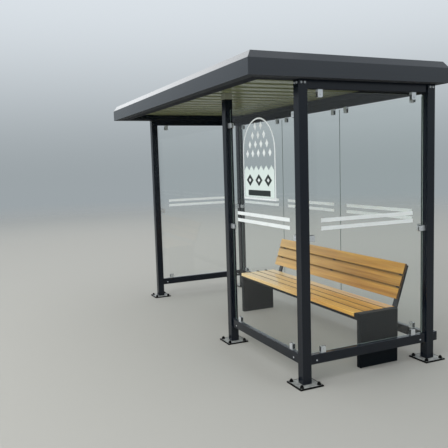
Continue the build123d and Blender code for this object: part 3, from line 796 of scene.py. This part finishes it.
# %% [markdown]
# ## Joints of the back wall
# The three back panels meet with a narrow joint, which is filled with dark silicone.  It is slightly
# thinner than the glass, as a joint that was wiped off, and a bar in each gap is all it takes.

# %% Back wall joints
JOINT_SET_BACK = 1 * MM
JOINT_ROUND = 0.3 * MM
joints = bmesh.new()
for left, right in (("glass_back_far", "glass_back_middle"), ("glass_back_middle", "glass_back_near")):
    left_low, left_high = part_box(left)
    right_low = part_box(right)[0]
    bar(joints, (left_high.x + CONTACT, left_low.y + JOINT_SET_BACK, left_low.z),
        (right_low.x - CONTACT, left_high.y - JOINT_SET_BACK, left_high.z), JOINT_ROUND)
as_object("back_wall_joints", joints, [rubber])

# %% [markdown]
# ## Film on the front glass
# The big white film on the front panel is drawn anew as a plain geometric ornament: an arch in outline,
# lozenges in its open upper half, and a filled lower half with a toothed top and dark lozenges.  Flat shapes
# start as a circle or a few corners, are filled, and get the film's thickness by an extrusion.

# %% Front film
front_low, front_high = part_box("glass_front")
FILM_MIDDLE_X = 1145 * MM
FILM_BOTTOM = 1462 * MM
FILM_HEIGHT = 722 * MM
FILM_WIDTH = 600 * MM
FRAME_LINE = 14 * MM
ARCH_STEPS = 24


def film_place(layer):
    """Plane of a film layer on the outer side of the front glass; X stays, Y becomes height."""
    y = front_low.y - FILM_CLEARANCE - layer * 2 * FILM
    return Matrix(((1, 0, 0, FILM_MIDDLE_X), (0, 0, 1, y - FILM), (0, 1, 0, FILM_BOTTOM), (0, 0, 0, 1)))


def lozenge(shape, x, height, half_width, half_height):
    """Flat lozenge about a point."""
    made = bmesh.ops.create_circle(shape, cap_ends=True, segments=4, radius=1.0)
    bmesh.ops.scale(shape, vec=(half_width, half_height, 1), verts=made["verts"])
    bmesh.ops.translate(shape, vec=(x, height, 0), verts=made["verts"])


def flat_face(shape, corners):
    """Flat face from corners in the plane."""
    return shape.faces.new([shape.verts.new((x, y, 0)) for x, y in corners])


def film_object(name, shape, layer, material):
    """Give the flat shapes the film's thickness and put them on the glass."""
    bmesh.ops.recalc_face_normals(shape, faces=shape.faces)
    made = bmesh.ops.extrude_face_region(shape, geom=list(shape.faces), use_keep_orig=True)
    raised = [item for item in made["geom"] if isinstance(item, bmesh.types.BMVert)]
    bmesh.ops.translate(shape, vec=(0, 0, FILM), verts=raised)
    bmesh.ops.transform(shape, matrix=film_place(layer), verts=shape.verts)
    bmesh.ops.recalc_face_normals(shape, faces=shape.faces)
    return as_object(name, shape, [material])


def arch_corners(half_width, bottom, spring, steps):
    """Corners of an arch: straight sides up to the spring line and a half circle over them."""
    turn = [math.pi * step / steps for step in range(steps + 1)]
    top = [(half_width * math.cos(a), spring + half_width * math.sin(a)) for a in turn]
    return [(-half_width, bottom), (half_width, bottom)] + top


half = FILM_WIDTH / 2
outline = bmesh.new()
rims = []
for inward in (0, FRAME_LINE):
    corners = arch_corners(half - inward, inward, FILM_HEIGHT - half, ARCH_STEPS)
    points = [outline.verts.new((x, y, 0)) for x, y in corners]
    rims += [outline.edges.new(pair) for pair in zip(points, points[1:] + points[:1])]
bmesh.ops.bridge_loops(outline, edges=rims)
LOZENGE_ROWS = ((0.57, 5), (0.68, 4), (0.79, 3), (0.9, 2))
LOZENGE_PITCH = 105
LOZENGE_HALF = (26 * MM, 36 * MM)
for height, count in LOZENGE_ROWS:
    for place in range(count):
        lozenge(outline, (place - (count - 1) / 2) * LOZENGE_PITCH * MM, height * FILM_HEIGHT, *LOZENGE_HALF)
film_object("front_film_lines", outline, 0, white_film)

FIELD_GAP = 10 * MM
FIELD_BOTTOM = 24 * MM
FIELD_TOP = 0.36
TOOTH_HEIGHT = 0.06
TEETH = 6
panel_half = half - FRAME_LINE - FIELD_GAP
tooth = 2 * panel_half / TEETH
teeth_top = [(panel_half - step * tooth / 2, (FIELD_TOP + TOOTH_HEIGHT * (step % 2)) * FILM_HEIGHT)
             for step in range(2 * TEETH + 1)]
field = bmesh.new()
flat_face(field, [(-panel_half, FIELD_BOTTOM), (panel_half, FIELD_BOTTOM)] + teeth_top)
film_object("front_film_field", field, 0, pale_film)

BIG_PITCH = 170
BIG_HEIGHT = 0.24 * FILM_HEIGHT
BIG_HALF = (66 * MM, 54 * MM)
HEART_HALF = (24 * MM, 20 * MM)
STRIPE_BOTTOM = 34 * MM
STRIPE_TOP = 84 * MM
stripe_half = 0.75 * panel_half
dark = bmesh.new()
light = bmesh.new()
for place in (-1, 0, 1):
    lozenge(dark, place * BIG_PITCH * MM, BIG_HEIGHT, *BIG_HALF)
    lozenge(light, place * BIG_PITCH * MM, BIG_HEIGHT, *HEART_HALF)
flat_face(dark, [(-stripe_half, STRIPE_BOTTOM), (stripe_half, STRIPE_BOTTOM),
                 (stripe_half, STRIPE_TOP), (-stripe_half, STRIPE_TOP)])
film_object("front_film_dark", dark, 1, dark_film)
film_object("front_film_light", light, 2, white_film)

# %% [markdown]
# ## Bolts of the bench back
# Each back board is held by two hexagon bolts at every support, put in from behind.  The back leans, so
# their places are counted along it from the bend of the supports, and two unit vectors turn them upright.

# %% Bench bolts
BOARD_START = 98 * MM
BOARD_HEIGHT = 100 * MM
SUPPORT_THICKNESS = 20 * MM
BOLT_FROM_EDGE = 22 * MM
SUPPORT_WIDTH = 50 * MM
supports_low, supports_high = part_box("bench_back_supports")
up_the_back = Vector((0, math.sin(BACK_LEAN), math.cos(BACK_LEAN)))
behind = Vector((0, math.cos(BACK_LEAN), -math.sin(BACK_LEAN)))
bend = Vector((0, supports_low.y, slats_low.z))
BACK_BOARDS = 3
first = supports_low.x + SUPPORT_WIDTH / 2
last = supports_high.x - SUPPORT_WIDTH / 2
support_places = (first, (first + last) / 2, last)
bench_bolts = []
for x in support_places:
    for board in range(BACK_BOARDS):
        for reach in (BOLT_FROM_EDGE, BOARD_HEIGHT - BOLT_FROM_EDGE):
            along = BOARD_START + board * BOARD_PITCH + reach
            place = bend + up_the_back * along + behind * SUPPORT_THICKNESS + X_AXIS * x
            bench_bolts.append(facing(place, behind))
stamped("bench_back_bolts", hex_bolt, bench_bolts, [stainless])

# %% [markdown]
# ## Strips between the back boards
# The gaps of the back are dark with shade: a brown strip is set back in each as a painted shadow, and a
# black spacer sits in front of it at every support.  They are made upright as plain bars and then leaned
# with the back.

# %% Gap strips and spacers
STRIP_FRONT = 14 * MM
STRIP_BACK = 3 * MM
SPACER_FRONT = 20 * MM
SPACER_WIDTH = 40 * MM
SPACER_ROUND = 1 * MM
STRIP_FROM_END = 2 * MM
STRIP_ROUND = 0.5 * MM
lean = Matrix((X_AXIS, behind, up_the_back)).transposed().to_4x4()
on_back = Matrix.Translation(bend) @ lean
shade_strips = bmesh.new()
spacers = bmesh.new()
# The brown strips are painted shadow in the gaps; the spacers are black rubber.
for gap in range(BACK_BOARDS - 1):
    low = BOARD_START + gap * BOARD_PITCH + BOARD_HEIGHT + CONTACT
    high = BOARD_START + (gap + 1) * BOARD_PITCH - CONTACT
    bar(shade_strips, (boards_low.x + STRIP_FROM_END, -STRIP_FRONT, low),
        (boards_high.x - STRIP_FROM_END, -STRIP_BACK, high), STRIP_ROUND)
    for x in support_places:
        bar(spacers, (x - SPACER_WIDTH / 2, -SPACER_FRONT, low),
            (x + SPACER_WIDTH / 2, -STRIP_FRONT - CONTACT, high), SPACER_ROUND)
for shape in (shade_strips, spacers):
    bmesh.ops.transform(shape, matrix=on_back, verts=shape.verts)
as_object("bench_back_shade_strips", shade_strips, [shade_strip_brown])
as_object("bench_back_spacers", spacers, [rubber])

# %% [markdown]
# ## Clips of the seat
# At the far end of the seat a black clip closes each gap between two slats and keeps them apart.  It is a
# small rounded bar, wider than the gap and higher than the slats, and lies 2.5 mm off the gap's middle.

# %% Seat clips
CLIP_START = 100 * MM
CLIP_HEAD = 26 * MM
CLIP_DEPTH = 10 * MM
CLIP_TOP = 7 * MM
CLIP_ABOVE_RAIL = 4 * MM
CLIP_ROUND = 2 * MM
SEAT_GAPS = 3
clips = bmesh.new()
for gap in range(SEAT_GAPS):
    y0 = slats_low.y + CLIP_START + gap * SLAT_PITCH
    y1 = slats_low.y + (gap + 1) * SLAT_PITCH
    overlap = (CLIP_HEAD - (y1 - y0)) / 2
    bar(clips, (slats_low.x - CLIP_DEPTH, y0 - overlap, slats_low.z + CLIP_ABOVE_RAIL),
        (slats_low.x - CONTACT, y1 + overlap, slats_high.z + CLIP_TOP), CLIP_ROUND)
as_object("seat_slat_clips", clips, [rubber])

# %% [markdown]
# ## Floor, light and background
# The shelter stands in a plain, pale studio.  Three soft lamps light it, two before its open side and one
# off the far end, a weak one hangs above, and an even world fills the shadows.  The camera,
# glossy faces and glass all see one pale backdrop in its place, so the reflections show the background
# that the picture shows.  Far from the shelter the floor fades into it, which leaves no horizon line.

# %% Floor
FLOOR_RADIUS = 30.0
FADE_START = 6.0
FADE_END = 28.0
FLOOR_COLOUR = "#aaa8a1"
floor_shape = bmesh.new()
bmesh.ops.create_circle(floor_shape, cap_ends=True, segments=96, radius=FLOOR_RADIUS)
floor_mesh = bpy.data.meshes.new("floor")
floor_shape.to_mesh(floor_mesh)
floor_shape.free()
floor = bpy.data.objects.new("floor", floor_mesh)
bpy.context.scene.collection.objects.link(floor)
floor_material, floor_tree = new_material("pale_studio_floor")
floor_place = add(floor_tree, "ShaderNodeTexCoord").outputs["Object"]
from_middle = add(floor_tree, "ShaderNodeVectorMath", links={0: floor_place}, operation="LENGTH")
fade = add(floor_tree, "ShaderNodeMapRange", {"From Min": FADE_START, "From Max": FADE_END},
           {"Value": from_middle.outputs["Value"]}, interpolation_type="SMOOTHSTEP")
floor_shader = add(floor_tree, "ShaderNodeBsdfPrincipled",
                   {"Base Color": srgb(FLOOR_COLOUR), "Roughness": 0.9})
floor_clear = add(floor_tree, "ShaderNodeBsdfTransparent")
floor_mix = add(floor_tree, "ShaderNodeMixShader",
                links={0: fade.outputs[0], 1: floor_shader.outputs[0], 2: floor_clear.outputs[0]})
add(floor_tree, "ShaderNodeOutputMaterial", links={"Surface": floor_mix.outputs[0]})
floor_mesh.materials.append(floor_material)

# %% World
FILL_STRENGTH = 1.0
FILL_COLOUR = "#eef3f8"
BACKDROP_LOW = "#9ca4a8"
BACKDROP_HIGH = "#dbe2e8"
world = bpy.data.worlds.new("studio")
bpy.context.scene.world = world
world.use_nodes = True
world.node_tree.nodes.clear()
paths = add(world.node_tree, "ShaderNodeLightPath").outputs
direction = add(world.node_tree, "ShaderNodeTexCoord").outputs["Generated"]
towards = add(world.node_tree, "ShaderNodeSeparateXYZ", links={0: direction})
rise = add(world.node_tree, "ShaderNodeMapRange", {"From Min": -0.02, "From Max": 0.3},
           {"Value": towards.outputs["Z"]}, interpolation_type="SMOOTHSTEP")
graded = add(world.node_tree, "ShaderNodeMix", {6: srgb(BACKDROP_LOW), 7: srgb(BACKDROP_HIGH)},
             {0: rise.outputs[0]}, data_type="RGBA")
backdrop = add(world.node_tree, "ShaderNodeBackground", {"Strength": 1.0}, {"Color": graded.outputs[2]})

# %% Light of the world
fill = add(world.node_tree, "ShaderNodeBackground", {"Color": srgb(FILL_COLOUR), "Strength": FILL_STRENGTH})
seen = add(world.node_tree, "ShaderNodeMath",
           links={0: paths["Is Camera Ray"], 1: paths["Is Transmission Ray"]}, operation="MAXIMUM")
shown = add(world.node_tree, "ShaderNodeMath",
            links={0: seen.outputs[0], 1: paths["Is Glossy Ray"]}, operation="MAXIMUM")
both = add(world.node_tree, "ShaderNodeMixShader",
           links={0: shown.outputs[0], 1: fill.outputs[0], 2: backdrop.outputs[0]})
add(world.node_tree, "ShaderNodeOutputWorld", links={"Surface": both.outputs[0]})


# %% Lamps
def soft_lamp(name, place, target, size, watts):
    """White square area lamp at a place, turned to a target."""
    lamp = bpy.data.lights.new(name, "AREA")
    lamp.shape = "SQUARE"
    lamp.size = size
    lamp.energy = watts
    obj = bpy.data.objects.new(name, lamp)
    obj.visible_camera = False
    obj.visible_transmission = False
    obj.location = place
    obj.rotation_euler = (Vector(target) - Vector(place)).to_track_quat("-Z", "Y").to_euler()
    bpy.context.scene.collection.objects.link(obj)


soft_lamp("open_side", (-1.0, -7.5, 6.5), (0, 0, 1.0), 5.0, 190)
soft_lamp("above", (0, 0, 9.0), (0, 0, 0), 7.0, 35)
soft_lamp("far_end", (-12.0, -1.0, 8.6), (0, -1.0, 2.0), 7.0, 195)
soft_lamp("near_front", (4.5, -8.0, 6.0), (0, 0, 1.0), 5.0, 275)

# %% [markdown]
# ## Camera
# The camera stands where the photo was taken: at eye height, off the near front corner, looking slightly
# down along the shelter.  Its lens comes from the focal length in pixels over the picture's side.

# %% Camera
CAMERA_PLACE = Vector((5.6365, -2.8395, 1.77275))
CAMERA_AZIMUTH = math.radians(65.62)
CAMERA_PITCH = math.radians(-5.83)
CAMERA_ROLL = math.radians(-1.75)
FOCAL_PIXELS = 570.7
PICTURE_SIDE = 448
SENSOR = 36.0
forward = Vector((-math.sin(CAMERA_AZIMUTH) * math.cos(CAMERA_PITCH),
                  math.cos(CAMERA_AZIMUTH) * math.cos(CAMERA_PITCH), math.sin(CAMERA_PITCH)))
level_right = forward.cross(Z_AXIS).normalized()
level_up = level_right.cross(forward)
right = level_right * math.cos(CAMERA_ROLL) + level_up * math.sin(CAMERA_ROLL)
up = level_up * math.cos(CAMERA_ROLL) - level_right * math.sin(CAMERA_ROLL)
camera_data = bpy.data.cameras.new("camera")
camera_data.sensor_width = SENSOR
camera_data.lens = FOCAL_PIXELS / PICTURE_SIDE * SENSOR
camera = bpy.data.objects.new("camera", camera_data)
turn = Matrix((right, up, -forward)).transposed().to_4x4()
camera.matrix_world = Matrix.Translation(CAMERA_PLACE) @ turn
bpy.context.scene.collection.objects.link(camera)
bpy.context.scene.camera = camera
bpy.context.scene.view_settings.view_transform = "Standard"
